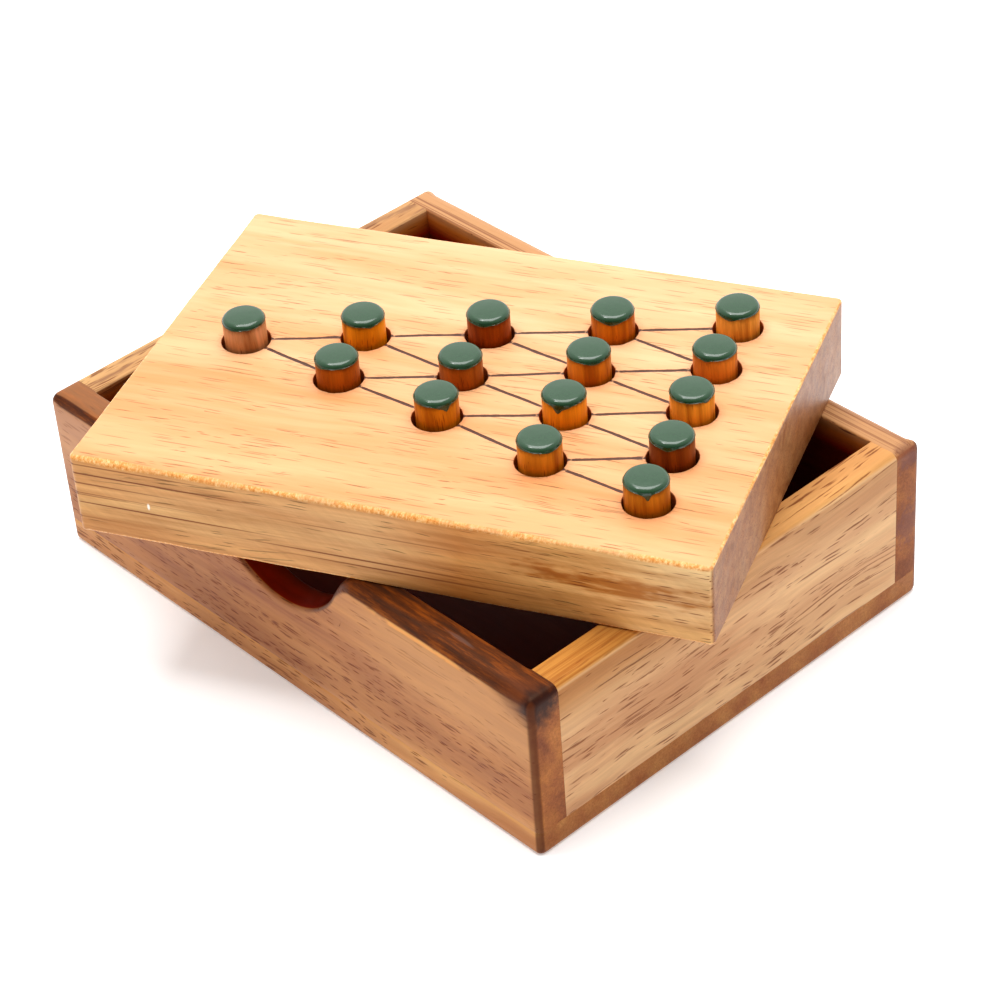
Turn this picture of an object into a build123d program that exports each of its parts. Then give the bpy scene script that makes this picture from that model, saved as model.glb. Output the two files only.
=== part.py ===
from build123d import *
import os

# Triangular peg solitaire in its own wooden box. Millimetres, +Z up. The origin is the centre
# of the box's bottom face, +X runs along the box, and the finger notch faces -Y.

# Box
box_length = 130.0
box_width = 96.4
box_height = 34.2
wall = 6.35                 # quarter-inch stock: sides, ends and ledge strips
bottom_thickness = 5.2
rim_rounding = 3.0          # outer edge of the rim
corner_rounding = 1.4       # upright corners
foot_rounding = 1.0         # edge of the bottom panel

# Finger notch, centred in the front side
notch_radius = 17.5
notch_depth = 13.8          # below the rim
notch_shoulder = 4.0        # rounding where the notch runs out into the rim

# Board, which is also the lid. It drops into the box, flush with the rim, when it is put away.
board_length = 115.9
board_width = 80.9
board_thickness = 16.3
board_edge = 0.6            # sanded edges
board_turn = 26.5           # degrees it is turned on the rim while the game is out
board_shift = (7.1, -7.4)   # its centre from the box's centre while the game is out

# Holes: five columns of one to five holes, a triangle with its point to the left
column_pitch = 21.2
rank_pitch = 13.2
columns = 5
hole_diameter = 8.9
hole_depth = 10.4
hole_countersink = 0.25

# Pegs
peg_diameter = 7.9
peg_length = 16.0
peg_edge = 0.5

# The holes were drilled by eye, so some miss their grid point: hole number to (x, y) on the board
drill_wander = {1: (0.3, 0.2), 2: (-0.2, 0.1), 5: (-0.1, -0.4), 6: (-0.1, 0.4),
                10: (0.3, -0.4), 13: (-0.3, 0.0), 14: (0.3, 0.0), 15: (0.2, 0.3)}
# The holes are loose, and some pegs stand to one side: hole number to (x, y) on the board
peg_shift = {2: (-0.2, 0.1), 5: (0.0, -0.25), 6: (0.0, 0.25), 12: (-0.2, -0.1),
             15: (-0.25, 0.0)}

board_bottom = box_height
board_top = board_bottom + board_thickness
ledge_height = box_height - board_thickness - bottom_thickness
inner_width = box_width - 2 * wall


def save(solid, node):
    solid.label = node
    export_step(solid, f"parts/{node}.step")


def block(low, high):
    """A box between two corners."""
    size = [high[i] - low[i] for i in range(3)]
    return Pos(*low) * Box(*size, align=(Align.MIN, Align.MIN, Align.MIN))


def box_envelope():
    """The whole box as one rounded block: each panel is cut from it, so the roundings run on."""
    body = Box(box_length, box_width, box_height, align=(Align.CENTER, Align.CENTER, Align.MIN))
    body = fillet(body.edges().filter_by(Axis.Z), corner_rounding)
    body = fillet(body.edges().group_by(Axis.Z)[0], foot_rounding)
    return fillet(body.edges().group_by(Axis.Z)[-1], rim_rounding)


def finger_notch():
    """The notch's outline, swept through the front side: an arc with rounded shoulders."""
    centre_height = box_height - notch_depth + notch_radius
    above = notch_radius
    shoulder_x = ((notch_radius + notch_shoulder) ** 2
                  - (centre_height - box_height + notch_shoulder) ** 2) ** 0.5
    arc = Pos(0, centre_height) * Circle(notch_radius)
    flare = Pos(0, box_height - notch_shoulder / 2) * Rectangle(2 * shoulder_x, notch_shoulder)
    for side in (-1, 1):
        flare -= Pos(side * shoulder_x, box_height - notch_shoulder) * Circle(notch_shoulder)
    flare += Pos(0, box_height + above / 2) * Rectangle(2 * shoulder_x, above)
    outline = Plane.XZ.offset(box_width / 2 + 1) * (arc + flare)
    return extrude(outline, -(wall + 2))


def box_panels():
    """Bottom under everything, sides the full length, ends and ledge strips between the sides."""
    x, y = box_length / 2, box_width / 2
    inner = y - wall
    front = block((-x, -y, bottom_thickness), (x, -inner, box_height)) - finger_notch()
    panels = {
        "box_bottom": block((-x, -y, 0), (x, y, bottom_thickness)),
        "box_side_front": front,
        "box_side_back": block((-x, inner, bottom_thickness), (x, y, box_height)),
        "box_end_left": block((-x, -inner, bottom_thickness), (wall - x, inner, box_height)),
        "box_end_right": block((x - wall, -inner, bottom_thickness), (x, inner, box_height)),
    }
    envelope = box_envelope()
    for node, panel in panels.items():
        save(panel & envelope, node)


def ledge_strips():
    """The board rests on a strip glued across each end when it is put away."""
    for node, side in (("ledge_left", -1), ("ledge_right", 1)):
        strip = Box(wall, inner_width, ledge_height, align=(Align.CENTER, Align.CENTER, Align.MIN))
        save(Pos(side * (box_length / 2 - 1.5 * wall), 0, bottom_thickness) * strip, node)


def hole_places():
    """Each hole's centre on the board, column by column from the triangle's point."""
    places = []
    for column in range(columns):
        for rank in range(column + 1):
            x = (column - (columns - 1) / 2) * column_pitch
            y = (column / 2 - rank) * rank_pitch
            wander = drill_wander.get(len(places) + 1, (0, 0))
            places.append((x + wander[0], y + wander[1]))
    return places


def board():
    slab = Box(board_length, board_width, board_thickness,
               align=(Align.CENTER, Align.CENTER, Align.MAX))
    slab = chamfer(slab.edges(), board_edge)
    for x, y in hole_places():
        slab -= Pos(x, y, 0) * CounterSinkHole(hole_diameter / 2, hole_diameter / 2 + hole_countersink,
                                               hole_depth, 90)
    return slab


def peg():
    body = Cylinder(peg_diameter / 2, peg_length, align=(Align.CENTER, Align.CENTER, Align.MIN))
    return fillet(body.edges(), peg_edge)


def main():
    os.makedirs("parts", exist_ok=True)
    box_panels()
    ledge_strips()
    on_rim = Pos(board_shift[0], board_shift[1], board_top) * Rot(0, 0, board_turn)
    save(on_rim * board(), "lid_board")
    for number, (x, y) in enumerate(hole_places(), start=1):
        shift = peg_shift.get(number, (0, 0))
        save(on_rim * Pos(x + shift[0], y + shift[1], -hole_depth) * peg(), f"peg_{number:02d}")


main()
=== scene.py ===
from math import atan2, cos, degrees, exp, pi, radians, sin, sqrt

import bmesh
import bpy
from mathutils import Matrix, Vector, kdtree, noise
from mathutils.geometry import delaunay_2d_cdt


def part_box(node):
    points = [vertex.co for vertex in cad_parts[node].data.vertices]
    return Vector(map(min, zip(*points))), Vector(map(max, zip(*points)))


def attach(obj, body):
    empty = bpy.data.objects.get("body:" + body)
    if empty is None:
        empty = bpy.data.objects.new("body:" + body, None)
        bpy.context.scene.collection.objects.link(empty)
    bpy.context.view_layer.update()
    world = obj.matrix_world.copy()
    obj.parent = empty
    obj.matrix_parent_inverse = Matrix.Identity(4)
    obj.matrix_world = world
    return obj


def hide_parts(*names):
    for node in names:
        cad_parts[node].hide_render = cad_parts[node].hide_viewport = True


# Triangular peg solitaire in its wooden box. Lengths are millimetres except for the floor and the
# lamps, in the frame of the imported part: +Z up, +X along the box, the finger notch facing -Y.

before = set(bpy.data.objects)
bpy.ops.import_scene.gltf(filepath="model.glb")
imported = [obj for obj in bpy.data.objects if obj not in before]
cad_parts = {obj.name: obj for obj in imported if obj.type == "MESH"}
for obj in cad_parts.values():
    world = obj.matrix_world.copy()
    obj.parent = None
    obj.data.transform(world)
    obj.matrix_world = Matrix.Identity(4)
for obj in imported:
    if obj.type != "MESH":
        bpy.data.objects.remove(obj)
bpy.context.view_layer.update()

# Camera
camera_azimuth = 49.373
camera_elevation = 37.404
camera_roll = -4.55
camera_distance = 539.91
camera_aim = (17.805, -10.496, 30.0)
camera_lens = 109.46

# Studio: a white room that is brighter behind the object, a softbox overhead and a light table
bright_side = (-0.6, 0.6, 0.5)
bright_walls = 1.5
dim_walls = 0.18
floor_glow = 0.22
# Each lamp's place, size and power, in metres and watts. The small one glints on the painted tips.
lamps = {"overhead": ((-0.05, 0.1, 0.9), 0.7, 8.5), "glint": ((-0.17, -0.25, 0.85), 0.11, 0.8)}
lamp_aim = Vector((0, 0, 0.04))

# Box, with the CAD part's notch, and its roundings but for the smaller one at the ends
rim_rounding = 3.0          # of the long sides
end_rounding = 1.6          # of the rim at the box's ends
corner_rounding = 1.4
foot_rounding = 1.0
joint_edge = 0.012          # the hairline bevel of an edge that meets another panel
inner_arris = 0.45          # of the rim's inner edge
wall = 6.35                 # thickness of the sides and ends
notch_radius = 17.5
notch_depth = 13.8
notch_shoulder = 4.0
notch_arris = 0.85
panel_unevenness = 0.008    # how far sanding has lowered the panels' low spots
painted_shade_start = 0.6           # how far below the rim the painted shade of the inside starts
painted_shade_depth = 5.0           # how much further down the painted shade is darkest
hidden_margin = 5.0         # the inside lies further than this from the outer faces
notch_painted_shade = 0.85          # how dark the painted shade on the notch's surface is

# Board, with the CAD part's sizes and holes
board_length = 115.9
board_width = 80.9
board_turn = radians(26.5)
column_pitch = 21.2
rank_pitch = 13.2
columns = 5
hole_radius = 4.45
hole_depth = 10.4
drill_wander = {1: (0.3, 0.2), 2: (-0.2, 0.1), 5: (-0.1, -0.4), 6: (-0.1, 0.4),
                10: (0.3, -0.4), 13: (-0.3, 0.0), 14: (0.3, 0.0), 15: (0.2, 0.3)}
board_corner = 1.0
board_unevenness = 0.06
line_width = 0.46
# The strands of a burnt line, side by side: how far across it, how deep, how dark
line_profile = ((-0.5, 0.0, 0.0), (-0.28, 0.04, 0.8), (0.0, 0.11, 1.0), (0.28, 0.04, 0.8), (0.5, 0.0, 0.0))
smudge_side = Vector((0.94, 0.34))

# Pegs
peg_radius = 3.92
paint_edge = 1.0            # rounding of the painted tip
paint_band = 1.1            # how far the paint comes down from the tip, drips aside
paint_top = 0.08            # how far the middle of the tip is below the CAD peg's
bare_gap = 0.6              # how far the wood stops short of the tip, under the paint
# Drips of paint: peg number to a list of (degrees round the peg, how far down, how wide in degrees)
paint_drips = {1: [(-70, 0.3, 30)], 2: [(-20, 0.5, 20)], 3: [(-95, 0.5, 25)], 4: [(-60, 0.5, 40)],
               5: [(-25, 0.4, 25)], 6: [(-14, 1.1, 13), (-30, 0.5, 25)], 7: [(-50, 0.8, 45)],
               8: [(-30, 0.5, 30)], 9: [(-62, 1.3, 15), (-45, 0.6, 30)], 10: [(-20, 0.4, 30)],
               11: [(-70, 0.5, 35)], 12: [(-70, 0.5, 20)], 13: [(-5, 0.6, 16)],
               14: [(-55, 0.6, 30)], 15: [(-42, 1.0, 9), (-45, 0.6, 26)]}


def millimetres(node):
    low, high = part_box(node)
    return low * 1000, high * 1000


def steps(start, end, spacing):
    """Evenly spaced values from start to end, both included."""
    count = max(1, round(abs(end - start) / spacing))
    return [start + (end - start) * i / count for i in range(count + 1)]


def turns(count):
    """Angles spaced evenly once round a circle."""
    return [2 * pi * i / count for i in range(count)]


def ripple(position, wavelength):
    """Smooth noise from -1 to 1 at a place in space."""
    return noise.noise(Vector(position) / wavelength)


def new_object(name, data):
    made = bpy.data.objects.new(name, data)
    bpy.context.scene.collection.objects.link(made)
    return made


# ------------------------------------------------------------------------------------ meshes

class Shell:
    """Collects the points, faces and per-point values of one mesh."""

    def __init__(self):
        self.points = []
        self.faces = []
        self.values = {"line": {}, "arris": {}, "rim": {}, "inside": {}}

    def add(self, point, **values):
        self.points.append(Vector(point))
        for name, value in values.items():
            self.values[name][len(self.points) - 1] = value
        return len(self.points) - 1

    def skin(self, rings):
        """Quads between each closed ring and the next."""
        for one, two in zip(rings, rings[1:]):
            count = len(one)
            for i in range(count):
                j = (i + 1) % count
                self.faces.append((one[i], one[j], two[j], two[i]))

    def fan(self, ring, centre):
        """Triangles from a closed ring to a point in its middle."""
        middle = self.add(centre)
        for i, index in enumerate(ring):
            self.faces.append((index, ring[(i + 1) % len(ring)], middle))

    def bridge(self, ring):
        """Closes a ring whose two halves mirror each other with quads from one half to the other."""
        left, right = ring[:len(ring) // 2], ring[len(ring) // 2:][::-1]
        for i in range(len(left) - 1):
            self.faces.append((left[i], left[i + 1], right[i + 1], right[i]))

    def sweep(self, rings):
        """Skins the rings of a panel and closes both of its ends."""
        self.skin(rings)
        self.bridge(rings[0])
        self.bridge(rings[-1])

    def close_symmetric(self, ring):
        """Closes a ring that starts and comes half-way round on its line of symmetry."""
        half = len(ring) // 2
        self.faces.append((ring[0], ring[1], ring[-1]))
        self.faces.append((ring[half - 1], ring[half], ring[half + 1]))
        for i in range(1, half - 1):
            self.faces.append((ring[i], ring[i + 1], ring[-i - 1], ring[-i]))

    def build(self, name, place=Matrix.Identity(4), unevenness=0.0):
        """The finished object, in metres. Unevenness is how far sanding has lowered its low spots."""
        mesh = bpy.data.meshes.new(name)
        mesh.from_pydata(self.points, [], self.faces)
        for value_name, values in self.values.items():
            if values:
                attribute = mesh.attributes.new(value_name, "FLOAT", "POINT")
                for index, value in values.items():
                    attribute.data[index].value = value
        work = bmesh.new()
        work.from_mesh(mesh)
        bmesh.ops.recalc_face_normals(work, faces=work.faces)
        work.normal_update()
        if unevenness:
            lowered = [(v, (0.5 + 0.5 * ripple(v.co, 9.0)) * unevenness) for v in work.verts]
            for vertex, amount in lowered:
                vertex.co -= vertex.normal * amount
        work.to_mesh(mesh)
        work.free()
        mesh.transform(Matrix.Scale(0.001, 4) @ place)
        mesh.shade_smooth()
        mesh.set_sharp_from_angle(angle=radians(50))
        return new_object(name, mesh)


def quarter_drop(distance, radius):
    """How far a rounding of that radius has dropped at a distance from where it ends."""
    if distance >= radius:
        return 0.0
    return radius - sqrt(max(0.0, radius ** 2 - (radius - distance) ** 2))


def end_stations(length, roundings, spacing):
    """Places along a panel from end to end, close together in the roundings at both ends."""
    longest = max(roundings)
    close = {longest * (1 - sin(radians(a))) for a in (90, 80, 70, 60, 50, 40, 28, 14, 0)}
    close |= {r * (1 - cos(radians(a))) for r in roundings for a in (20, 40, 60)}
    close = sorted(close)
    middle = steps(-length / 2 + longest, length / 2 - longest, spacing)[1:-1]
    return [-length / 2 + d for d in close] + middle + [length / 2 - d for d in reversed(close)]


def section_ring(low, high, outer_round, inner_round, foot_round, rows=16):
    """A panel's cross-section as (across, up): up its outer face to the top, then back down its
    inner face, with as many points on each. foot_round bevels both feet."""
    halves = []
    for side, edge, rounding in ((low[0], 1, outer_round), (high[0], -1, inner_round)):
        bottom, top = low[1] + foot_round, high[1] - rounding
        half = [(side + edge * foot_round, low[1]),
                (side + edge * foot_round * 0.3, low[1] + foot_round * 0.3)]
        half += [(side, bottom + (top - bottom) * i / rows) for i in range(rows + 1)]
        for angle in (15, 30, 45, 60, 75, 90):
            a = radians(angle)
            half.append((side + edge * rounding * (1 - cos(a)), high[1] - rounding * (1 - sin(a))))
        halves.append(half)
    return halves[0] + halves[1][::-1]


def painted_shade(depth):
    """How dark the painted shade of the box's inside is at a depth below the rim."""
    return min(1.0, max(0.0, (depth - painted_shade_start) / painted_shade_depth))


def box_side(node, facing):
    """A long side: the ends show, and the front one has the finger notch."""
    low, high = millimetres(node)
    length, height = high.x - low.x, high.z
    notched = facing < 0
    outer_face, inner_face = (-low.y, -high.y) if notched else (high.y, low.y)
    shell = Shell()
    rings = []
    for x, top, lean, in_notch in side_crest(length, height, notched):
        from_end = length / 2 - abs(x)
        wave = 0.3 * ripple((x, 0, facing * 9), 7.0) + 0.15 * ripple((x, 4, facing * 9), 2.0)
        wave *= 1.0 if notched else 0.2
        outer_round = (rim_rounding - 0.35 + wave) * (1 - in_notch) + (notch_arris + 0.3 * wave) * in_notch
        outer_round -= 1.4 * (1 - min(1, from_end / rim_rounding))
        inner_round = inner_arris * (1 - in_notch) + notch_arris * 0.8 * in_notch
        if from_end < wall:
            inner_round = joint_edge
        face = outer_face - quarter_drop(from_end, corner_rounding)
        thickness = face - (inner_face + quarter_drop(from_end, joint_edge))
        ring = []
        for across, up in section_ring((0, low.z), (thickness, top), outer_round, inner_round, joint_edge):
            # the roundings are measured square to the crest, which slopes inside the notch
            depth = top - up
            reach = min(1.0, max(0.0, 1 - depth / 8.0))
            slide = -lean * depth * reach if in_notch > 0 else 0.0
            # Painted shade: the inside is darkened below the rim, and the notch's surface is painted dark.
            inner = across > thickness / 2 and from_end > hidden_margin
            painted_dark = painted_shade(height - up) if inner else 0.0
            if across > outer_round * 0.9:
                painted_dark = max(painted_dark, notch_painted_shade * in_notch)
            ring.append(shell.add((x + slide, facing * (face - across), up), inside=painted_dark))
        rings.append(ring)
    shell.sweep(rings)
    return shell.build(node + "_panel", unevenness=panel_unevenness)


def crest_arc(x, z, radius, start, end, spacing, outward):
    """Points of a round stretch of the notch: x, height, how far the crest's normal leans along X."""
    points = []
    for angle in steps(start, end, spacing):
        a = radians(angle)
        points.append((x + radius * cos(a), z + radius * sin(a), outward * cos(a)))
    return points


def side_crest(length, height, notched):
    """The top edge of a long side from end to end: x, height, lean, and how far into the notch."""
    shoulder_height = height - notch_shoulder
    centre_height = height - notch_depth + notch_radius
    rise = centre_height - shoulder_height
    shoulder_x = sqrt((notch_radius + notch_shoulder) ** 2 - rise ** 2)
    crest = []
    for x in end_stations(length, (end_rounding, corner_rounding, joint_edge), 1.4):
        if not notched or abs(x) > shoulder_x:
            crest.append((x, height - quarter_drop(length / 2 - abs(x), end_rounding), 0.0, 0.0))
    if not notched:
        return crest
    slope = degrees(atan2(rise, shoulder_x))
    notch = crest_arc(-shoulder_x, shoulder_height, notch_shoulder, 90, slope, 7, 1)
    notch += crest_arc(0.0, centre_height, notch_radius, slope - 180, -slope, 3, -1)[1:-1]
    notch += crest_arc(shoulder_x, shoulder_height, notch_shoulder, 180 - slope, 90, 7, 1)
    marked = [(x, z, lean, min(1.0, (height - z) / notch_shoulder)) for x, z, lean in notch]
    left = [c for c in crest if c[0] < 0]
    right = [c for c in crest if c[0] > 0]
    return left + marked + right


def box_end(node, facing):
    """A short end, between the sides: only its outer face, its rim and its inside show."""
    low, high = millimetres(node)
    width = high.y - low.y
    thickness = high.x - low.x
    face = high.x if facing > 0 else -low.x
    shell = Shell()
    rings = []
    for y in end_stations(width, (joint_edge,), 1.4):
        pulled = quarter_drop(width / 2 - abs(y), joint_edge)
        section = section_ring((pulled, low.z), (thickness, high.z - pulled), end_rounding, inner_arris,
                               joint_edge)
        ring = []
        for across, up in section:
            # Painted shade: the inside is darkened below the rim.
            painted_dark = painted_shade(high.z - up) if across > thickness / 2 else 0.0
            ring.append(shell.add((facing * (face - across), y, up), inside=painted_dark))
        rings.append(ring)
    shell.sweep(rings)
    return shell.build(node + "_panel", unevenness=panel_unevenness)


def ledge(node):
    """A strip across the box's inside, with its upper edges eased."""
    low, high = millimetres(node)
    centre = (low.x + high.x) / 2
    half = (high.x - low.x) / 2
    section = section_ring((-half, low.z), (half, high.z), 0.4, 0.4, joint_edge, rows=8)
    shell = Shell()
    rings = []
    for y in end_stations(high.y - low.y, (joint_edge,), 3.0):
        # Painted shade: the whole strip takes the inside's darkest colour.
        rings.append([shell.add((centre + across, y, up), inside=1.0) for across, up in section])
    shell.sweep(rings)
    return shell.build(node + "_strip", unevenness=panel_unevenness)


def box_bottom(node):
    """The bottom panel, with a rounded foot. Its rings start and come half-way round at y = 0."""
    low, high = millimetres(node)
    length, half = high.x - low.x, high.y
    shell = Shell()
    rings = []
    for x in end_stations(length, (foot_rounding, corner_rounding), 2.0):
        from_end = length / 2 - abs(x)
        side = half - quarter_drop(from_end, corner_rounding)
        foot = quarter_drop(from_end, foot_rounding)
        foot_line = side - foot_rounding
        foot_top = foot + foot_rounding
        top = high.z - quarter_drop(from_end, joint_edge)
        under = [(foot_line * i / 14, foot) for i in range(1, 14)]
        rounded = [(side - foot_rounding * (1 - sin(a)), foot + foot_rounding * (1 - cos(a)))
                   for a in (0, pi / 8, pi / 4, pi * 3 / 8, pi / 2)]
        upright = [(side, foot_top + (top - joint_edge - foot_top) * i / 4) for i in range(1, 5)]
        over = [((side - joint_edge) * i / 14, top) for i in range(14, 0, -1)]
        right = under + rounded + upright + over
        left = [(-y, z) for y, z in reversed(right)]
        ring = []
        for y, z in [(0.0, foot)] + right + [(0.0, top)] + left:
            # Painted shade: the top face within the walls takes the inside's darkest colour.
            shaded_inside = z > high.z - 0.01 and from_end > hidden_margin and abs(y) < half - hidden_margin
            ring.append(shell.add((x, y, z), inside=float(shaded_inside)))
        rings.append(ring)
    shell.skin(rings)
    for ring in (rings[0], rings[-1]):
        shell.close_symmetric(ring)
    return shell.build(node + "_panel", unevenness=panel_unevenness)


# ------------------------------------------------------------------------------------ board

def hole_places():
    """Each hole's centre on the board, column by column from the triangle's point."""
    places = []
    for column in range(columns):
        for rank in range(column + 1):
            wander = drill_wander.get(len(places) + 1, (0, 0))
            places.append(Vector(((column - (columns - 1) / 2) * column_pitch + wander[0],
                                  (column / 2 - rank) * rank_pitch + wander[1])))
    return places


def hole_pairs():
    """Neighbouring holes that a line joins: along the rows, along the other diagonals, and across.
    The last value is whether the line ends in a scorched blob, as the rows' lines do."""
    pairs = []
    first = 0
    for column in range(columns):
        for rank in range(column + 1):
            here = first + rank
            if column < columns - 1:
                pairs.append((here, here + column + 1, True))
                pairs.append((here, here + column + 2, False))
            if rank < column:
                pairs.append((here, here + 1, False))
        first += column + 1
    return pairs


def board_outline(spacing=0.8):
    """The board's outline as (place, outward normal, distance from the nearest corner)."""
    x, y, r = board_length / 2, board_width / 2, board_corner
    outline = []
    corners = [(x - r, r - y, -90), (x - r, y - r, 0), (r - x, y - r, 90), (r - x, r - y, 180)]
    for i, (cx, cy, start) in enumerate(corners):
        for angle in (0, 22.5, 45, 67.5, 90):
            a = radians(start + angle)
            normal = Vector((cos(a), sin(a)))
            outline.append((Vector((cx, cy)) + normal * r, normal, 0.0))
        nx, ny, _ = corners[(i + 1) % 4]
        a = radians(start + 90)
        normal = Vector((cos(a), sin(a)))
        begin, end = Vector((cx, cy)) + normal * r, Vector((nx, ny)) + normal * r
        length = (end - begin).length
        for along in steps(0.0, length, spacing)[1:-1]:
            outline.append((begin.lerp(end, along / length), normal, min(along, length - along)))
    return outline


def arris_width(point, normal, from_corner, lower):
    """How far the board's worn edge reaches in. It is widest and most uneven along the front."""
    front = max(0.0, -normal.y)
    base = 0.55 + 0.4 * front
    rough = 0.2 + 0.35 * front
    where = (point.x, point.y, 30.0 if lower else 0.0)
    width = base + rough * ripple(where, 14.0) + 0.25 * rough * ripple(where, 3.0)
    return max(0.35, min(width, 0.8 * board_corner + 0.4 * from_corner))


def inside(point, polygon):
    """Whether a point lies inside a closed polygon."""
    hit = False
    for i, one in enumerate(polygon):
        two = polygon[i - 1]
        if (one.y > point.y) != (two.y > point.y):
            if point.x < (two.x - one.x) * (point.y - one.y) / (two.y - one.y) + one.x:
                hit = not hit
    return hit


def filler(boundary, fixed, spacing):
    """Points on a triangular grid inside the boundary, clear of the fixed points."""
    tree = kdtree.KDTree(len(fixed))
    for i, point in enumerate(fixed):
        tree.insert((point.x, point.y, 0), i)
    tree.balance()
    xs, ys = [p.x for p in boundary], [p.y for p in boundary]
    points = []
    row = 0
    y = min(ys) + spacing
    while y < max(ys):
        x = min(xs) + spacing * (0.5 if row % 2 else 1.0)
        while x < max(xs):
            point = Vector((x, y))
            if tree.find((x, y, 0))[2] > 0.75 * spacing and inside(point, boundary):
                points.append(point)
            x += spacing
        y += spacing * 0.866
        row += 1
    return points


def line_strands(start, end, blob, number):
    """A burnt line between two holes, as strands side by side, the middle one deepest and darkest."""
    along = (end - start).normalized()
    across = Vector((-along.y, along.x))
    gap_start = hole_radius + 0.62 + 0.2 * ripple((number * 3.1, 0.5, 0.5), 1.0)
    gap_end = hole_radius + 0.55 + 0.12 * ripple((0.5, number * 2.3, 0.5), 1.0)
    first, last = start + along * gap_start, end - along * gap_end
    length = (last - first).length
    strands = []
    for offset, depth, dark in line_profile:
        strand = []
        for s in steps(0.0, length, 1.0):
            wander = 0.16 * ripple((s / 5, number * 1.9, 0.5), 1.0)
            width = line_width / 0.56 * (1 + 0.25 * ripple((s / 1.5, number * 1.3, 4.0), 1.0))
            if blob:
                width *= 1 + 0.8 * exp(-((length - s) / 0.9) ** 2)
            fade = min(1.0, 0.35 + s / 1.6, 0.35 + (length - s) / 1.6)
            place = first + along * s + across * (wander + offset * width)
            strand.append((place, -depth * fade, dark * fade))
        strands.append(strand)
    return strands


def board_mesh(node):
    """The board, with its drilled holes, burnt lines and worn edges."""
    low, high = millimetres(node)
    depth = high.z - low.z
    centre = (low + high) / 2
    place = Matrix.Translation((centre.x, centre.y, high.z)) @ Matrix.Rotation(board_turn, 4, "Z")
    shell = Shell()
    outline = board_outline()
    upper = [arris_width(p, n, c, False) for p, n, c in outline]
    lower = [arris_width(p, n, c, True) * 0.8 for p, n, c in outline]
    arc = [radians(a) for a in (0, 15, 30, 45, 60, 75, 90)]

    rings = []
    for a in arc:
        ring = []
        for (p, n, _), r in zip(outline, upper):
            scar = 0.035 * ripple((p.x, p.y, degrees(a) / 30), 2.0) * sin(2 * a)
            flat = p - n * (r * (1 - sin(a)) + max(0.0, scar))
            ring.append(shell.add((flat.x, flat.y, -r * (1 - cos(a))), arris=sin(2 * a) ** 0.5))
        rings.append(ring)
    for share in (0.1, 0.22, 0.34, 0.46, 0.58, 0.7, 0.82, 0.92):
        rings.append([shell.add((p.x, p.y, -r - (depth - r - s) * share))
                      for (p, _, _), r, s in zip(outline, upper, lower)])
    for a in arc:
        ring = []
        for (p, n, _), r in zip(outline, lower):
            flat = p - n * r * (1 - cos(a))
            height = r * (1 - sin(a)) - depth
            ring.append(shell.add((flat.x, flat.y, height), arris=sin(2 * a) ** 0.5))
        rings.append(ring)
    shell.skin(rings)
    fill_face(shell, rings[-1], [], [], 5.0, -depth)

    holes = hole_places()
    strands = []
    directions = [[] for _ in holes]
    for number, (one, two, blob) in enumerate(hole_pairs()):
        strands += line_strands(holes[one], holes[two], blob, number)
        along = (holes[two] - holes[one]).normalized()
        directions[one].append(along)
        directions[two].append(-along)
    rims = [drill_hole(shell, hole, number, directions[number]) for number, hole in enumerate(holes)]
    fill_face(shell, rings[0], rims, strands, 1.5, 0.0, holes)
    return shell.build(node + "_worn", place, unevenness=board_unevenness)


def drill_hole(shell, centre, number, line_directions):
    """A blind hole's wall and floor, with the burnt lines carried on to its rim. Returns the ring
    where it meets the top face."""
    profile = [(0.22, 0.0, 0.3), (0.13, -0.02, 0.5), (0.06, -0.1, 0.8), (0.02, -0.3, 1.0),
               (0.0, -0.9, 1.0), (0.0, -2.4, 1.0), (0.0, -5.0, 1.0), (0.0, -8.0, 1.0),
               (-0.05, -hole_depth + 0.25, 1.0), (-0.3, -hole_depth, 1.0), (-2.2, -hole_depth, 1.0)]
    rings = []
    for out, z, dark in profile:
        ring = []
        for a in turns(56):
            direction = Vector((cos(a), sin(a)))
            torn = 0.14 * ripple((direction.x * 3, direction.y * 3, number * 5.0), 1.0)
            torn += 0.10 * ripple((direction.x * 9, direction.y * 9, number * 5.0), 1.0)
            wear = max(0.0, 1 - abs(z) / 0.6)
            p = centre + direction * (hole_radius + out * (1 + torn) + 0.5 * torn * wear)
            aside = min((direction - line).length for line in line_directions) * hole_radius
            burnt = max(0.0, 1 - aside / 0.45) if z > -0.2 else 0.0
            ring.append(shell.add((p.x, p.y, z), rim=dark, line=burnt))
        rings.append(ring)
    shell.skin(rings)
    shell.fan(rings[-1], (centre.x, centre.y, -hole_depth))
    return rings[0]


def smudge(away):
    """How dirty the face is beside a hole: most on the side towards the board's far corner."""
    distance = away.length - hole_radius
    return 0.45 * max(0.0, 1 - distance / 1.8) * max(0.0, away.normalized().dot(smudge_side)) ** 2


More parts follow.
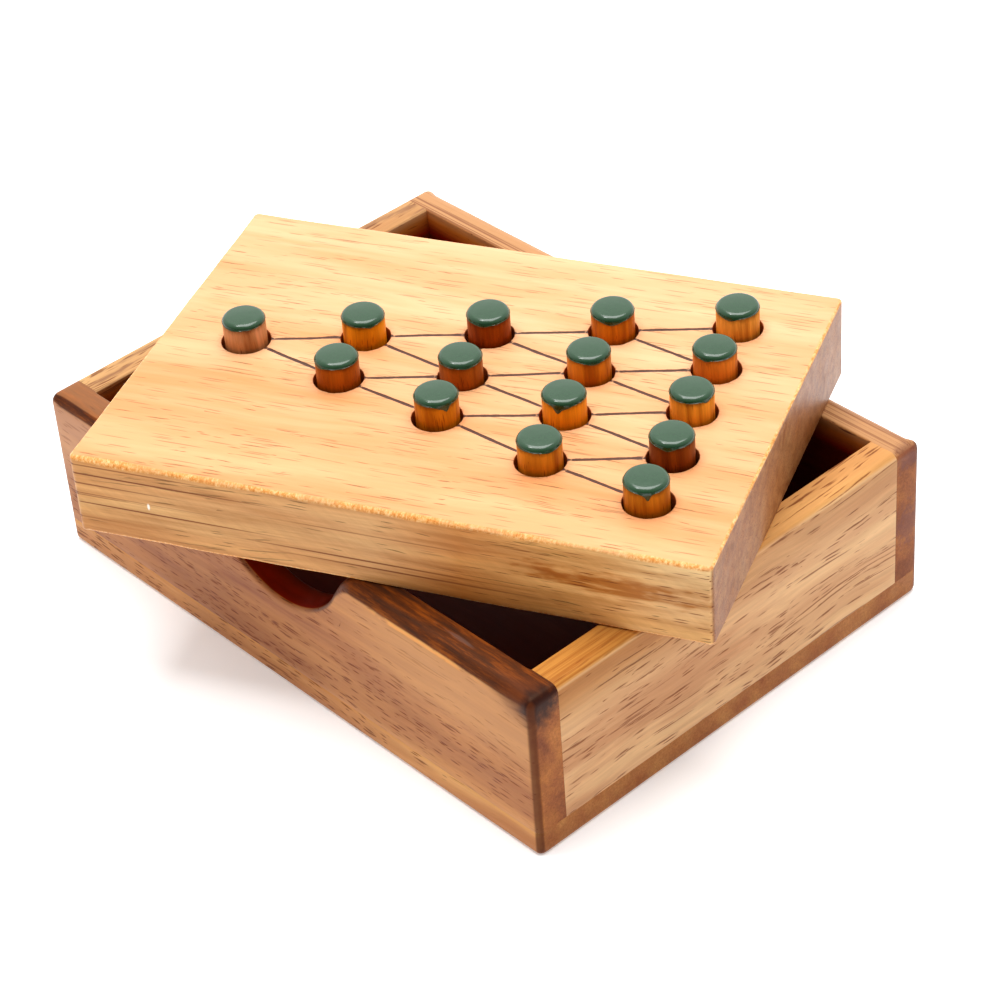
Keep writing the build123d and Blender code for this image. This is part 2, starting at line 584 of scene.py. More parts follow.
def fill_face(shell, border, rims, strands, spacing, level, holes=()):
    """Fills a flat face between its border, the hole rims and the strands of the burnt lines."""
    used = list(border)
    edges = [(i, (i + 1) % len(border)) for i in range(len(border))]
    for rim in rims:
        first = len(used)
        used += rim
        edges += [(first + i, first + (i + 1) % len(rim)) for i in range(len(rim))]
    for strand in strands:
        first = len(used)
        used += [shell.add((p.x, p.y, level + z), line=dark) for p, z, dark in strand]
        edges += [(first + i, first + i + 1) for i in range(len(strand) - 1)]
    flat = [shell.points[i].to_2d() for i in used]
    boundary = flat[:len(border)]
    for point in filler(boundary, flat, spacing):
        offsets = [point - hole for hole in holes]
        if all(offset.length > hole_radius for offset in offsets):
            dirt = max([smudge(offset) for offset in offsets], default=0.0)
            used.append(shell.add((point.x, point.y, level), rim=dirt))
            flat.append(point)
    vertices, _, triangles, origins, _, _ = delaunay_2d_cdt(flat, edges, [], 0, 1e-5, True)
    index = [used[origin[0]] for origin in origins]
    on_border = set(border)
    rim_sets = [set(rim) for rim in rims]
    for triangle in triangles:
        corners = [index[i] for i in triangle]
        if any(rim.issuperset(corners) for rim in rim_sets):
            continue
        if on_border.issuperset(corners):
            middle = sum((vertices[i] for i in triangle), Vector((0, 0))) / 3
            if not inside(middle, boundary):
                continue
        shell.faces.append(tuple(corners))


# ------------------------------------------------------------------------------------ pegs

def peg_mesh(node, number):
    """A length of dowel, not quite round, that stops just under the paint."""
    low, high = millimetres(node)
    centre = (low + high) / 2
    length = high.z - low.z - bare_gap
    profile = [(0.0, -0.5), (0.15, -0.15), (0.5, 0.0)]
    profile += [(z, 0.0) for z in steps(1.5, length - 0.9, 1.0)]
    profile += [(length - 0.6, -0.05), (length - 0.25, -0.25), (length, -0.6)]
    shell = Shell()
    rings = []
    for z, out in profile:
        ring = []
        for a in turns(48):
            uneven = 0.035 * ripple((cos(a) * 2, sin(a) * 2, number * 3 + z / 12), 1.0)
            r = peg_radius + out + uneven - 0.03
            ring.append(shell.add((centre.x + r * cos(a), centre.y + r * sin(a), low.z + z)))
        rings.append(ring)
    shell.skin(rings)
    shell.fan(rings[0], (centre.x, centre.y, low.z))
    shell.fan(rings[-1], (centre.x, centre.y, low.z + length))
    return shell.build(node + "_dowel")


def paint_reach(number, a):
    """How far down the paint comes at an angle round the peg."""
    down = paint_band + 0.12 * ripple((cos(a) * 1.5, sin(a) * 1.5, number * 7.0), 1.0)
    down += 0.05 * ripple((cos(a) * 6, sin(a) * 6, number * 7.0), 1.0)
    for where, length, width in paint_drips[number]:
        away = (degrees(a) - where + 180) % 360 - 180
        down += length * exp(-(away / (width * 0.7)) ** 2)
    return down


def paint_mesh(node, number):
    """The paint that the peg was dipped in: a thin glossy skin with an uneven lower edge."""
    low, high = millimetres(node)
    centre = (low + high) / 2
    crown = high.z - paint_top
    lean_x, lean_y = 0.012 * sin(number * 2.4), 0.012 * cos(number * 1.7)
    around = turns(72)
    flat = peg_radius - paint_edge
    profile = [(r, 0.0) for r in (0.8, 1.6, 2.4)]
    for angle in (0, 12, 24, 36, 48, 60, 72, 84):
        t = radians(angle)
        profile.append((flat + paint_edge * sin(t), -paint_edge * (1 - cos(t))))
    shell = Shell()
    rings = []
    for r, z in profile:
        domed = z - 0.175 * min(1.0, r / flat) ** 2
        ring = []
        for a in around:
            x, y = r * cos(a), r * sin(a)
            uneven = lean_x * x + lean_y * y + 0.02 * ripple((x, y, number * 4.0), 1.6)
            ring.append(shell.add((centre.x + x, centre.y + y, crown + domed + uneven)))
        rings.append(ring)
    starts = [shell.points[index].z for index in rings[-1]]
    ends = [high.z - paint_reach(number, a) for a in around]
    for share in (0.25, 0.5, 0.72, 0.88, 0.97, 1.0):
        swell = 0.02 + 0.035 * sin(pi * min(1.0, share * 1.02)) ** 2
        r = peg_radius + (swell if share < 1.0 else -0.01)
        rings.append([shell.add((centre.x + r * cos(a), centre.y + r * sin(a),
                                 start + (end - start) * share))
                      for a, start, end in zip(around, starts, ends)])
    r = peg_radius - 0.12
    rings.append([shell.add((centre.x + r * cos(a), centre.y + r * sin(a), end + 0.02))
                  for a, end in zip(around, ends)])
    shell.skin(rings)
    shell.fan(rings[0], (centre.x, centre.y, crown))
    return shell.build(node + "_paint")


# ------------------------------------------------------------------------------------ materials

def srgb(red, green, blue):
    """A linear colour from 0-255 screen values."""
    def linear(value):
        value /= 255
        return value / 12.92 if value <= 0.04045 else ((value + 0.055) / 1.055) ** 2.4
    return (linear(red), linear(green), linear(blue), 1.0)


class Nodes:
    """The node tree of a new material or world. Most methods add a node and return its result."""

    def __init__(self, owner):
        owner.use_nodes = True
        self.owner = owner
        self.tree = owner.node_tree
        self.shader = self.tree.nodes.get("Principled BSDF")

    def feed(self, socket, value):
        if isinstance(value, bpy.types.NodeSocket):
            self.tree.links.new(value, socket)
        elif value is not None:
            socket.default_value = value

    def surface(self, name, value):
        """Links or sets one of the shader's own inputs."""
        self.feed(self.shader.inputs[name], value)

    def add(self, kind, *inputs, **settings):
        node = self.tree.nodes.new("ShaderNode" + kind)
        for key, value in settings.items():
            setattr(node, key, value)
        for socket, value in zip([s for s in node.inputs if s.enabled], inputs):
            self.feed(socket, value)
        return node

    def math(self, operation, *values):
        return self.add("Math", *values, operation=operation).outputs[0]

    def vector(self, operation, *values):
        node = self.add("VectorMath", *values, operation=operation)
        return node.outputs[1 if operation in ("DOT_PRODUCT", "LENGTH") else 0]

    def noise(self, at, stretch, detail=2.0, roughness=0.5, colour=False):
        """Noise at a place multiplied by stretch, so a small stretch makes large features."""
        node = self.add("TexNoise", self.vector("MULTIPLY", at, stretch), 1.0, detail, roughness)
        return node.outputs[1 if colour else 0]

    def drift(self, at, stretch):
        """A random vector about zero."""
        return self.vector("SUBTRACT", self.noise(at, stretch, colour=True), (0.5, 0.5, 0.5))

    def split(self, vector):
        return self.add("SeparateXYZ", vector).outputs[:3]

    def fade(self, value, start, end):
        """0 before start and 1 after end, with a smooth step between."""
        return self.add("MapRange", value, start, end, interpolation_type="SMOOTHSTEP").outputs[0]

    def swing(self, value, amount):
        """Noise turned into a multiplier that swings about 1."""
        return self.math("MULTIPLY_ADD", value, amount, 1.0 - amount / 2)

    def times(self, *values):
        product = values[0]
        for value in values[1:]:
            product = self.math("MULTIPLY", product, value)
        return product

    def mix(self, share, one, two, blend="MIX"):
        node = self.add("Mix", share, one, two, data_type="RGBA", blend_type=blend)
        return [s for s in node.outputs if s.enabled][0]

    def cover(self, colour, over, *shares):
        """A colour with another laid over it, by the product of the shares."""
        return self.mix(self.times(*shares), colour, over)

    def tint(self, colour, multiplier, *shares):
        """A colour multiplied by another, by the product of the shares."""
        return self.mix(self.times(*shares), colour, multiplier, blend="MULTIPLY")

    def ramp(self, value, *stops):
        node = self.add("ValToRGB", value)
        elements = node.color_ramp.elements
        while len(elements) < len(stops):
            elements.new(0.5)
        for element, (position, colour) in zip(elements, stops):
            element.position = position
            element.color = colour
        return node.outputs[0]

    def attribute(self, name):
        return self.add("Attribute", attribute_name=name).outputs["Fac"]

    def bump(self, height, strength, distance):
        node = self.add("Bump")
        for name, value in (("Strength", strength), ("Distance", distance), ("Height", height)):
            self.feed(node.inputs[name], value)
        self.surface("Normal", node.outputs[0])

    def blot(self, at, centre, size, ragged=0.5):
        """A soft-edged patch round a place, with a ragged outline drawn out along the grain."""
        away = self.vector("DIVIDE", self.vector("SUBTRACT", at, centre), size)
        wobble = self.noise(at, (0.25, 0.9, 0.9), detail=3)
        reach = self.math("MULTIPLY_ADD", wobble, ragged * 2, -ragged)
        return self.fade(self.math("ADD", self.vector("LENGTH", away), reach), 1.0, 0.35)

    def pores(self, at, shift, length, width, density):
        """Open pores: long thin cells along the grain, of mixed sizes. density, 0 to 1, is the share
        of cells that hold one, and may be a socket."""
        shifted = self.vector("ADD", at, shift)
        stretched = self.vector("MULTIPLY", shifted, (1 / length, 1 / width, 1 / width))
        cells = self.add("TexVoronoi", stretched, 1.0)
        chance, size, _ = self.split(cells.outputs["Color"])
        edge = self.math("DIVIDE", cells.outputs["Distance"], self.math("MULTIPLY_ADD", size, 0.32, 0.18))
        return self.times(self.fade(edge, 1.0, 0.4), self.math("LESS_THAN", chance, density))


# Pores of each size: length, width, share of them present where they are sparse and where they
# crowd, and how dark they are
board_pores = ((8, 0.42, 0.03, 0.3, 0.7), (60, 0.45, 0.05, 0.2, 0.6))
end_pores = ((6, 0.6, 0.15, 0.9, 0.8), (12, 0.75, 0.08, 0.7, 0.85), (50, 0.55, 0.25, 0.75, 0.75))
side_pores = ((4, 0.5, 0.06, 0.85, 0.85), (7, 0.6, 0.04, 0.6, 0.8), (40, 0.5, 0.05, 0.35, 0.6))
peg_pores = ((5, 0.3, 0.2, 0.6, 0.7),)


def wood(name, palette, marks, turn=(0, 0, 0), shift=(0, 0, 0), seed=(0, 0, 0), figure=(0.007, 0.13),
         contrast=0.4, pores=side_pores, end_tint=(0.8, 0.7, 0.6), shine=0.13):
    """Varnished wood, solid through and through. Once turned and shifted, its grain lies along X.
    palette: pale, middle, dark and pore colours. marks(nodes, place, normal, colour) adds to it.
    seed: where in the noise its grain is taken from, so that no two pieces are alike."""
    n = Nodes(bpy.data.materials.new(name))
    pale, middle, dark, pore = palette
    coordinates = n.add("TexCoord").outputs
    place = n.add("Mapping", coordinates["Object"], shift, turn, (1000, 1000, 1000)).outputs[0]
    normal = n.add("Mapping", coordinates["Normal"], turn, vector_type="VECTOR").outputs[0]
    grain = n.vector("ADD", place, seed)
    fibres = n.vector("MULTIPLY_ADD", n.drift(grain, (0.018, 0.03, 0.03)), (0, 7, 7), grain)
    fibres = n.vector("MULTIPLY_ADD", n.drift(grain, (0.3, 0.8, 0.8)), (2.0, 0.35, 0.35), fibres)

    along, across = figure
    bands = n.noise(fibres, (along, across, across), detail=4, roughness=0.6)
    colour = n.ramp(bands, (0.34, dark), (0.48, middle), (0.62, pale))
    streaks = n.noise(fibres, (0.05, 1.6, 1.6), detail=5, roughness=0.65)
    colour = n.vector("SCALE", colour, n.swing(streaks, contrast))

    crowd = n.noise(fibres, (0.02, 0.14, 0.14), detail=3)
    colour = n.cover(colour, dark, n.fade(crowd, 0.44, 0.6), 0.4)
    holes = 0.0
    for i, (length, width, sparse, dense, strength) in enumerate(pores):
        density = n.add("MapRange", crowd, 0.44, 0.57, sparse, dense).outputs[0]
        size = n.pores(fibres, (37.0 * i, 11.0 * i, 5.0 * i), length, width, density)
        holes = n.math("MAXIMUM", holes, n.times(size, strength))
    facing = n.math("ABSOLUTE", n.split(normal)[0])
    holes = n.times(holes, n.fade(facing, 0.9, 0.5), n.fade(n.attribute("inside"), 0.8, 0.0))
    colour = n.cover(colour, pore, holes)

    speckle = n.noise(grain, (0.6, 2.6, 2.6), detail=4, roughness=0.8)
    end_grain = n.vector("SCALE", n.tint(colour, (*end_tint, 1), 1.0), n.swing(speckle, 1.5))
    colour = n.cover(colour, end_grain, n.fade(facing, 0.55, 0.95))
    n.surface("Base Color", marks(n, place, normal, colour))

    polish = n.noise(fibres, (0.08, 0.3, 0.3), detail=3)
    n.surface("Roughness", n.math("MULTIPLY_ADD", holes, 0.2, n.math("MULTIPLY_ADD", polish, 0.22, 0.29)))
    n.bump(n.math("SUBTRACT", n.times(streaks, 0.5), holes), 0.25, 0.00012)
    n.surface("Specular IOR Level", shine)
    n.surface("Specular Tint", (1.0, 0.6, 0.35, 1.0))
    return n.owner


def board_marks(n, place, normal, colour):
    """The darker sawn edges with their stain, the rough orange arris, and the burnt lines and rims."""
    x, y, _ = n.split(place)
    face_z = n.split(normal)[2]
    side, top = n.fade(face_z, 0.8, 0.2), n.fade(face_z, 0.7, 0.95)
    colour = n.tint(colour, (0.97, 0.86, 0.76, 1), n.fade(y, 20, -35), top)
    dashes = n.math("MAXIMUM", n.pores(place, (45, 3, 7), 8, 0.42, 0.4),
                    n.pores(place, (15, 23, 17), 13, 0.45, 0.2))
    colour = n.cover(colour, srgb(90, 76, 44), dashes, top, 0.5)

    along = n.add("MapRange", x, -board_length / 2, board_length / 2).outputs[0]
    sawn = n.ramp(along, (0.0, (0.8, 0.77, 0.56, 1)), (0.48, (0.84, 0.92, 0.84, 1)),
                  (0.62, (0.78, 0.63, 0.34, 1)), (0.78, (0.98, 1.02, 0.73, 1)), (0.95, (0.95, 1.14, 1.1, 1)))
    streak = n.noise(place, (0.03, 0.5, 0.5), detail=4, roughness=0.6)
    streaked = n.ramp(streak, (0.36, (0.74, 0.62, 0.5, 1)), (0.5, (0.95, 0.9, 0.84, 1)),
                      (0.64, (1.1, 1.1, 1.05, 1)))
    colour = n.cover(colour, n.tint(n.tint(colour, sawn, 1.0), streaked, 1.0), side)
    slanted = n.add("Mapping", place, (0, 0, 0), (0, radians(40), 0), (9, 2, 0.7),
                    vector_type="TEXTURE")
    saw_marks = n.noise(slanted.outputs[0], (1, 1, 1), detail=2)
    colour = n.cover(colour, n.vector("SCALE", colour, n.swing(saw_marks, 0.22)), side)
    long_lines = n.pores(place, (5, 9, 3), 90, 0.6, 0.6)
    colour = n.cover(colour, srgb(106, 46, 16), side, long_lines, n.fade(x, 45, -5), 0.95)
    short_dashes = n.pores(place, (25, 19, 13), 8, 0.5, 0.8)
    colour = n.cover(colour, srgb(104, 44, 14), side, short_dashes, n.fade(x, -15, 40), 0.9)
    stain = n.blot(place, (40, -40.5, -7.5), (19, 3, 3.4), 0.9)
    colour = n.tint(colour, (0.68, 0.45, 0.22, 1), stain, n.fade(streak, 0.58, 0.42))
    fleck = n.blot(place, (-43.6, -40.5, -8.2), (0.35, 1, 0.9), 0.1)
    colour = n.cover(colour, srgb(250, 240, 225), fleck)

    rasp = n.noise(place, (2.0, 0.9, 1.4), detail=4, roughness=0.8)
    rough_edge = n.ramp(rasp, (0.32, srgb(190, 104, 34)), (0.48, srgb(224, 152, 76)),
                        (0.64, srgb(244, 204, 144)))
    torn = n.fade(n.noise(place, (0.11, 0.11, 0.11), detail=3), 0.35, 0.55)
    colour = n.cover(colour, rough_edge, n.attribute("arris"), n.math("MULTIPLY_ADD", torn, 0.5, 0.45))

    smudged = n.noise(place, (1.8, 1.8, 1.8), detail=3)
    scorch = n.math("MULTIPLY_ADD", smudged, 0.9, n.math("SUBTRACT", n.attribute("rim"), 0.45))
    colour = n.cover(colour, srgb(146, 72, 26), n.fade(scorch, 0.2, 0.9), 0.9)
    line = n.math("MULTIPLY_ADD", smudged, 0.5, n.math("SUBTRACT", n.attribute("line"), 0.25))
    return n.cover(colour, srgb(50, 24, 28), n.fade(line, 0.1, 0.45), 0.95)


def panel_marks(n, place, normal, colour, rim_tone_and_shade=(0.84, 0.72, 0.56, 1)):
    """What each panel of the box shares: a darker rim, partly darker varnish and partly painted shade of the
    board, darker varnish on its corners, and painted shade on its inside.
    """
    face_x, face_y, face_z = n.split(normal)
    # Partly darker varnish and partly painted shade: the top-facing rim is darkened.
    colour = n.tint(colour, rim_tone_and_shade, n.fade(face_z, 0.3, 0.8), n.fade(n.split(place)[2], 28.0, 32.0))
    corner = n.fade(n.math("ABSOLUTE", n.times(face_x, face_y)), 0.1, 0.35)
    colour = n.cover(colour, srgb(84, 40, 20), corner, 0.8)
    # Painted shade: the inside darkens to a deep red-brown with depth below the rim.
    shade = n.ramp(n.attribute("inside"), (0.0, (1, 1, 1, 1)), (0.3, (0.95, 0.6, 0.2, 1)),
                   (notch_painted_shade, (0.5, 0.045, 0.006, 1)), (1.0, (0.24, 0.048, 0.018, 1)))
    return n.tint(colour, shade, 1.0)


def side_front_marks(n, place, normal, colour):
    """The front side: cleaner towards its top right and dark with pores lower down, a dark rim with
    orange streaks, partly painted shadow of the board, above a pale worn line, and stained corners."""
    x, _, z = n.split(place)
    face_x, _, face_z = n.split(normal)
    long_grain = n.fade(n.math("ABSOLUTE", face_x), 0.6, 0.3)
    colour = n.cover(colour, srgb(206, 152, 98), long_grain, n.fade(x, 5, 40), n.fade(z, 15, 24), 0.5)
    colour = n.cover(colour, srgb(194, 144, 108), long_grain, n.fade(x, -36, -54), n.fade(z, 10, 22), 0.5)
    sway = n.noise(place, (0.02, 0.1, 0.1))
    level = n.math("MULTIPLY_ADD", sway, 16.0, n.math("SUBTRACT", z, 8.0))
    band = n.times(long_grain, n.fade(level, 4.0, 9.0), n.fade(level, 21.0, 13.0))
    colour = n.cover(colour, srgb(124, 68, 44), band, 0.3)
    colour = n.cover(colour, srgb(102, 44, 27), band, n.pores(place, (3, 5, 9), 4.5, 0.65, 0.9), 0.85)

    streak = n.noise(place, (0.1, 0.9, 0.9), detail=4, roughness=0.7)
    # The rim's dark brown is partly the wood's own colour and partly painted shadow of the board.
    rim_colour_and_shadow = n.ramp(streak, (0.36, srgb(46, 18, 16)), (0.5, srgb(76, 32, 11)), (0.68, srgb(132, 66, 15)))
    reach = n.math("MAXIMUM", n.fade(x, -45, 0), n.fade(face_z, 0.96, 0.85))
    reach = n.math("MAXIMUM", reach, 0.52)
    colour = n.cover(colour, rim_colour_and_shadow, n.fade(face_z, 0.22, 0.4), n.fade(z, 24.0, 30.0), reach, 0.95)
    worn = n.fade(n.noise(place, (0.3, 0.3, 0.3), detail=3), 0.35, 0.5)
    line = n.times(n.fade(face_z, 0.05, 0.14), n.fade(face_z, 0.42, 0.24), n.fade(z, 28.0, 30.0),
                   n.fade(x, 23, 30), n.fade(x, 56, 44))
    colour = n.cover(colour, srgb(222, 154, 84), line, worn, 0.9)
    # A faint grey streak across the rim.
    grey_streak = n.blot(place, (44, -44.5, 34.2), (5, 0.5, 1.0), 0.9)
    colour = n.cover(colour, srgb(150, 140, 150), grey_streak, 0.15)
    dip = n.blot(place, (66.5, -48.2, 35.5), (14, 8, 9.5), 0.2)
    colour = n.cover(colour, srgb(88, 44, 26), dip, 0.85)
    speckle = n.noise(place, (1.5, 2.5, 2.5), detail=3, roughness=0.8)
    stained = n.blot(place, (65.8, -46.5, 34), (4.5, 9, 7.5), 0.4)
    colour = n.cover(colour, srgb(44, 19, 17), stained, n.swing(speckle, 0.5))
    return panel_marks(n, place, normal, colour)


def side_back_marks(n, place, normal, colour):
    """The back side: brown stripes along its rim, and purple patches on the end grain at its right."""
    stripes = n.fade(n.noise(place, (0.012, 1.6, 1.6), detail=4, roughness=0.7), 0.47, 0.6)
    rim = n.times(n.fade(n.split(normal)[2], 0.5, 0.9), n.fade(n.split(place)[2], 30.0, 32.0))
    colour = n.cover(colour, srgb(184, 139, 99), rim)
    colour = n.cover(colour, srgb(120, 72, 50), rim, stripes, 0.75)
    low_patch = n.blot(place, (65, 45, 17), (4, 4, 6), 0.8)
    high_patch = n.blot(place, (65, 44.5, 32.5), (3, 4, 4), 0.6)
    colour = n.cover(colour, srgb(104, 62, 60), n.math("MAXIMUM", low_patch, high_patch), 0.55)
    return panel_marks(n, place, normal, colour, rim_tone_and_shade=(0.95, 0.88, 0.78, 1))


def end_marks(n, place, normal, colour, rim_tone_and_shade=(0.86, 0.7, 0.46, 1)):
    """The ends: a darker rim, partly varnish and partly painted shade, and a darker band under it, deepest
    towards the front, partly darker wood and partly painted shadow of the board.
    """
    x, _, z = n.split(place)
    deeper = n.math("MULTIPLY_ADD", n.fade(x, 20, -30), 0.4, 0.6)
    below_rim = n.fade(n.split(normal)[2], 0.5, 0.1)
    # Partly painted shadow of the board: the band under the rim is darkened, most towards the front.
    colour = n.tint(colour, (0.6, 0.43, 0.28, 1), n.fade(z, 22.0, 31.0), below_rim, deeper)
    return panel_marks(n, place, normal, colour, rim_tone_and_shade)


def end_left_marks(n, place, normal, colour):
    """The left end: a paler rim with dark blotches."""
    blotches = n.fade(n.noise(place, (0.07, 0.45, 0.45), detail=4, roughness=0.6), 0.48, 0.66)
    rim = n.times(n.fade(n.split(normal)[2], 0.6, 0.9), n.fade(n.split(place)[2], 30.0, 32.0))
    colour = n.cover(colour, srgb(128, 84, 66), blotches, rim, 0.7)
    return end_marks(n, place, normal, colour, rim_tone_and_shade=(0.82, 0.8, 0.66, 1))


def end_right_marks(n, place, normal, colour):
    """The right end: finely lined orange varnish on its rim towards the front, where the rim is also
    darkened as painted shadow of the board.
    """
    x, _, z = n.split(place)
    orange_and_shade = n.times(n.fade(x, 20, -30), n.fade(n.split(normal)[2], 0.3, 0.8), n.fade(z, 28.0, 32.0))
    # Partly painted shadow of the board: the rim is tinted darker and more orange towards the front.
    colour = n.tint(colour, (0.82, 0.66, 0.38, 1), orange_and_shade)
    lines = n.noise(place, (0.03, 1.8, 1.8), detail=4, roughness=0.6)
    varnish = n.ramp(lines, (0.4, srgb(158, 100, 48)), (0.54, srgb(196, 145, 82)))
    colour = n.cover(colour, varnish, orange_and_shade, 0.75)
    return end_marks(n, place, normal, colour)


def peg_marks(n, place, _, colour):
    """Darker wood just under the paint, and a redder foot."""
    height = n.split(place)[0]
    colour = n.tint(colour, (0.86, 0.68, 0.5, 1), n.fade(height, 53.5, 50.5))
    mottling = n.noise(place, (0.5, 0.9, 0.9), detail=3)
    under = n.fade(n.math("MULTIPLY_ADD", mottling, 1.6, height), 54.6, 56.2)
    return n.cover(colour, srgb(70, 28, 4), under, 0.7)


def paint():
    """Glossy green paint, darker where it comes down the side as painted shade."""
    n = Nodes(bpy.data.materials.new("green_paint"))
    coordinates = n.add("TexCoord").outputs
    place = coordinates["Object"]
    spots = n.noise(place, (1500, 1500, 1500), detail=3)
    colour = n.ramp(spots, (0.3, srgb(23, 61, 32)), (0.7, srgb(27, 65, 35)))
    # Painted shade: paint that faces sideways is given a darker green.
    painted_side_shade = n.fade(n.split(coordinates["Normal"])[2], 0.6, 0.1)
    n.surface("Base Color", n.tint(colour, (0.22, 0.52, 0.38, 1), painted_side_shade))
    n.surface("Roughness", n.add("MapRange", spots, 0.3, 0.7, 0.16, 0.21).outputs[0])
    n.bump(n.noise(place, (900, 900, 900), detail=2), 0.08, 0.00003)
    n.surface("Specular IOR Level", 0.6)
    return n.owner


across_box = (0, 0, radians(-90))
upright = (0, radians(90), 0)
side_palette = (srgb(198, 138, 84), srgb(178, 118, 74), srgb(140, 84, 58), srgb(106, 48, 32))
end_palette = (srgb(217, 175, 127), srgb(206, 160, 115), srgb(186, 134, 93), srgb(116, 62, 38))
bottom_palette = (srgb(212, 156, 96), srgb(200, 140, 84), srgb(172, 108, 64), srgb(110, 58, 36))
board_palette = (srgb(226, 176, 131), srgb(224, 166, 120), srgb(210, 146, 94), srgb(104, 80, 46))


def box_materials():
    side = {"contrast": 0.5, "end_tint": (0.66, 0.5, 0.34)}
    end = {"turn": across_box, "contrast": 0.6, "pores": end_pores}
    return {
        "box_side_front": wood("wood_side_front", side_palette, side_front_marks, seed=(11, 3, 7), **side),
        "box_side_back": wood("wood_side_back", side_palette, side_back_marks, seed=(71, 23, 57), **side),
        "box_end_left": wood("wood_end_left", end_palette, end_left_marks, seed=(31, 13, 17), **end),
        "box_end_right": wood("wood_end_right", end_palette, end_right_marks, seed=(5, 43, 87), **end),
        "box_bottom": wood("wood_bottom", bottom_palette, panel_marks, seed=(91, 33, 27),
                           end_tint=(0.6, 0.48, 0.38)),
        "ledge_left": wood("wood_ledge_left", end_palette, panel_marks, turn=across_box, seed=(21, 63, 37)),
        "ledge_right": wood("wood_ledge_right", end_palette, panel_marks, turn=across_box, seed=(51, 73, 7)),
    }


def finish_piece(piece, node, body, material):
    piece.data.materials.append(material)
    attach(piece, body)
    if node:
        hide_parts(node)


def scaled(colour, shares):
    """A linear colour with each of its channels multiplied by a share."""
    return tuple(min(1.0, value * share) for value, share in zip(colour, shares)) + (1.0,)


# The main colour of each dowel
peg_colours = {1: (191, 134, 88), 2: (218, 134, 14), 3: (168, 84, 14), 4: (140, 58, 4),
               5: (156, 80, 16), 6: (204, 122, 18), 7: (192, 104, 14), 8: (200, 116, 24),
               9: (220, 132, 18), 10: (200, 122, 26), 11: (222, 150, 56), 12: (200, 112, 30),
               13: (216, 136, 34), 14: (124, 56, 8), 15: (180, 106, 20)}
# A dowel's pale, middle, dark and pore colours, each as shares of its main colour's channels
peg_shades = ((1.25, 1.25, 1.4), (1, 1, 1), (0.66, 0.52, 0.4), (0.4, 0.26, 0.15))


def make_object():
    materials = box_materials()
    for node, facing in (("box_side_front", -1), ("box_side_back", 1)):
        finish_piece(box_side(node, facing), node, "box", materials[node])
    for node, facing in (("box_end_left", -1), ("box_end_right", 1)):
        finish_piece(box_end(node, facing), node, "box", materials[node])
    for node in ("ledge_left", "ledge_right"):
        finish_piece(ledge(node), node, "box", materials[node])
    finish_piece(box_bottom("box_bottom"), "box_bottom", "box", materials["box_bottom"])

    low, high = millimetres("lid_board")
    top_centre = Vector(((low.x + high.x) / 2, (low.y + high.y) / 2, high.z))
    shift = Matrix.Rotation(-board_turn, 3, "Z") @ -top_centre
    board_material = wood("wood_board", board_palette, board_marks, turn=(0, 0, -board_turn),
                          shift=tuple(shift), figure=(0.006, 0.1), contrast=0.22, pores=board_pores,
                          end_tint=(0.41, 0.27, 0.2), shine=0.3)
    finish_piece(board_mesh("lid_board"), "lid_board", "board", board_material)

    green = paint()
    for number, main in peg_colours.items():
        node = f"peg_{number:02d}"
        palette = [scaled(srgb(*main), shares) for shares in peg_shades]
        material = wood(f"wood_{node}", palette, peg_marks, turn=upright,
                        seed=(0, number * 9, number * 5), figure=(0.02, 0.4), contrast=0.85,
                        pores=peg_pores, shine=0.08)
        finish_piece(peg_mesh(node, number), node, node, material)
        finish_piece(paint_mesh(node, number), None, node, green)


# ------------------------------------------------------------------------------------ studio

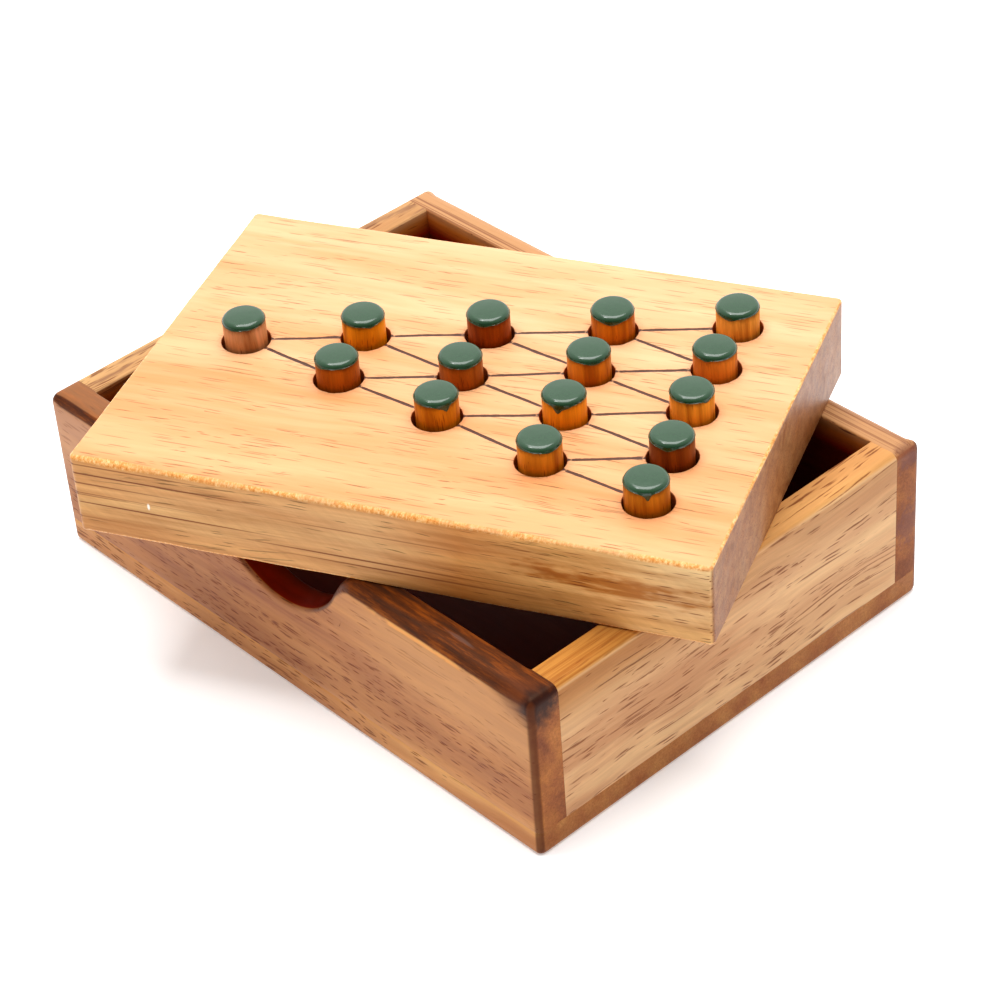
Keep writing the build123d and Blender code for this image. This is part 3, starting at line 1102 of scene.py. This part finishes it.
def make_floor():
    """A pale floor four metres across that glows a little, so it comes out white."""
    mesh = bpy.data.meshes.new("floor")
    mesh.from_pydata([(-2, -2, 0), (2, -2, 0), (2, 2, 0), (-2, 2, 0)], [], [(0, 1, 2, 3)])
    n = Nodes(bpy.data.materials.new("floor_white"))
    mottle = n.noise(n.add("TexCoord").outputs["Object"], (60, 60, 60), detail=3)
    n.surface("Base Color", n.ramp(mottle, (0.3, (0.9, 0.9, 0.9, 1)), (0.7, (0.93, 0.93, 0.93, 1))))
    n.surface("Roughness", 0.9)
    n.surface("Specular IOR Level", 0.1)
    n.surface("Emission Color", (1, 1, 1, 1))
    n.surface("Emission Strength", floor_glow)
    mesh.materials.append(n.owner)
    new_object("floor", mesh)


def softbox(name, place, size, power):
    """A square lamp turned towards the object."""
    light = bpy.data.lights.new(name, "AREA")
    light.shape = "RECTANGLE"
    light.size = light.size_y = size
    light.energy = power
    lamp = new_object(name, light)
    lamp.location = place
    lamp.rotation_euler = (lamp_aim - Vector(place)).to_track_quat("-Z", "Y").to_euler()


def studio():
    """The floor, the walls' light and the lamps."""
    make_floor()
    n = Nodes(bpy.data.worlds.new("studio"))
    direction = n.add("TexCoord").outputs["Generated"]
    towards = n.vector("DOT_PRODUCT", direction, Vector(bright_side).normalized())
    background = n.tree.nodes["Background"]
    background.inputs["Color"].default_value = (1, 1, 1, 1)
    n.feed(background.inputs["Strength"],
           n.add("MapRange", towards, -0.6, 0.9, dim_walls, bright_walls).outputs[0])
    bpy.context.scene.world = n.owner
    bpy.context.scene.view_settings.view_transform = "Standard"
    for name, (place, size, power) in lamps.items():
        softbox(name, place, size, power)


def camera():
    lens = bpy.data.cameras.new("camera")
    lens.lens = camera_lens
    lens.sensor_width = 36
    lens.clip_start = 0.01
    eye = new_object("camera", lens)
    turn = (Matrix.Rotation(radians(camera_azimuth), 4, "Z")
            @ Matrix.Rotation(radians(90 - camera_elevation), 4, "X")
            @ Matrix.Rotation(radians(camera_roll), 4, "Z"))
    aim = Matrix.Translation(Vector(camera_aim) / 1000)
    eye.matrix_world = aim @ turn @ Matrix.Translation((0, 0, camera_distance / 1000))
    bpy.context.scene.camera = eye


make_object()
studio()
camera()
